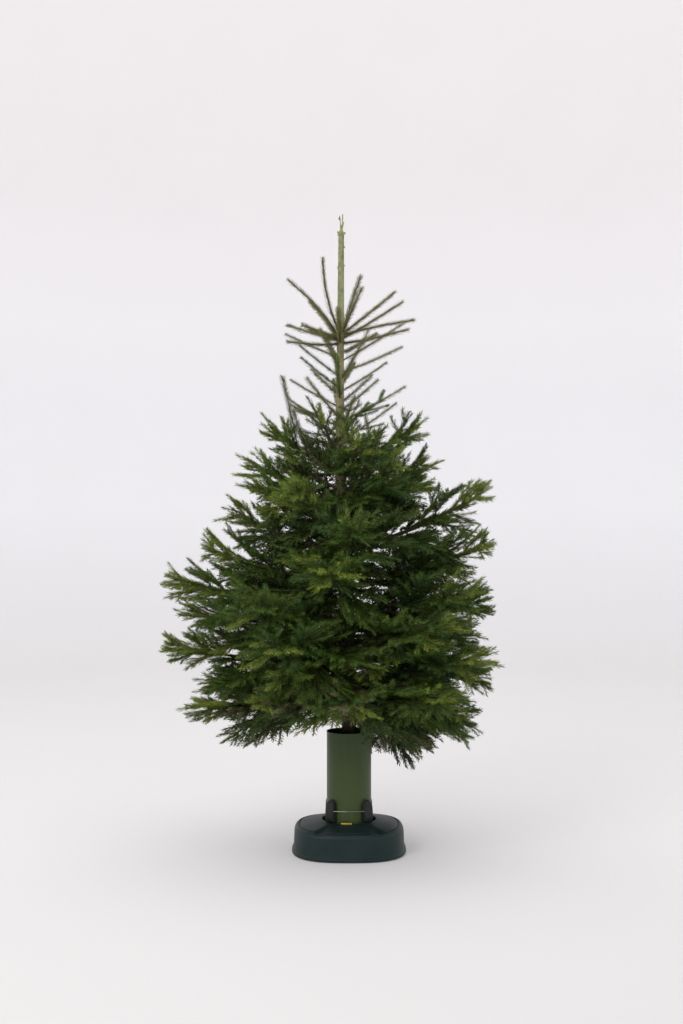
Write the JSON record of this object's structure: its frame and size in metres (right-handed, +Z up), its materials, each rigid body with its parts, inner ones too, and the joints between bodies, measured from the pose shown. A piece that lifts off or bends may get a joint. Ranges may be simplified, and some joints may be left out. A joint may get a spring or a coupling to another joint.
{
  "type": "christmas tree in stand",
  "caption": "Cut spruce christmas tree, undecorated, standing in a tall tube on a rounded plastic water stand with gripping claws.",
  "frame": {"origin": "centre of the stand's flat underside, below the axis of the tube", "axes": "+Z up along the tube; -Y is the stand's front, the side with the brass plate between two claws; +X to the right seen from the front"},
  "size_m": [1.1129, 1.1054, 2.166],
  "materials": {
    "bark": "rough bark, thin and scaly",
    "needles": "matt dark green needles",
    "young_needles": "matt olive green needles on thin shoots",
    "foot_plastic": "fine grained dark green moulded plastic",
    "tube_paint": "satin olive green paint",
    "claw_plastic": "satin black moulded plastic",
    "cable_steel": "bright twisted steel",
    "plate_brass": "satin brass"
  },
  "bodies": {
    "root": {"trunk": "bark", "base": "foot_plastic", "tube": "tube_paint", "cable": "cable_steel", "latch_plate": "plate_brass", "claw_1": "claw_plastic", "claw_2": "claw_plastic", "claw_3": "claw_plastic", "claw_4": "claw_plastic", "skirt_bough_1": "bark", "skirt_bough_2": "bark", "skirt_bough_3": "bark", "skirt_bough_4": "bark", "low_bough_1": "bark", "low_bough_2": "bark", "low_bough_3": "bark", "low_bough_4": "bark", "low_bough_5": "bark", "middle_bough_1": "bark", "middle_bough_2": "bark", "middle_bough_3": "bark", "middle_bough_4": "bark", "middle_bough_5": "bark", "high_bough_1": "bark", "high_bough_2": "bark", "high_bough_3": "bark", "high_bough_4": "bark", "skirt_foliage_1": "needles", "skirt_foliage_2": "needles", "skirt_foliage_3": "needles", "skirt_foliage_4": "needles", "low_foliage_1": "needles", "low_foliage_2": "needles", "low_foliage_3": "needles", "low_foliage_4": "needles", "low_foliage_5": "needles", "middle_foliage_1": "needles", "middle_foliage_2": "needles", "middle_foliage_3": "needles", "middle_foliage_4": "needles", "middle_foliage_5": "needles", "high_foliage_1": "needles", "high_foliage_2": "needles", "high_foliage_3": "needles", "high_foliage_4": "needles", "upper_foliage_1": "needles", "upper_foliage_2": "needles", "upper_foliage_3": "needles", "upper_foliage_4": "needles", "shoulder_foliage_1": "needles", "shoulder_foliage_2": "needles", "shoulder_foliage_3": "needles", "shoulder_foliage_4": "needles", "crown_1": "young_needles", "crown_2": "young_needles", "crown_3": "young_needles", "mantle_1": "young_needles", "mantle_2": "young_needles", "mantle_3": "young_needles"}
  },
  "joints": []
}
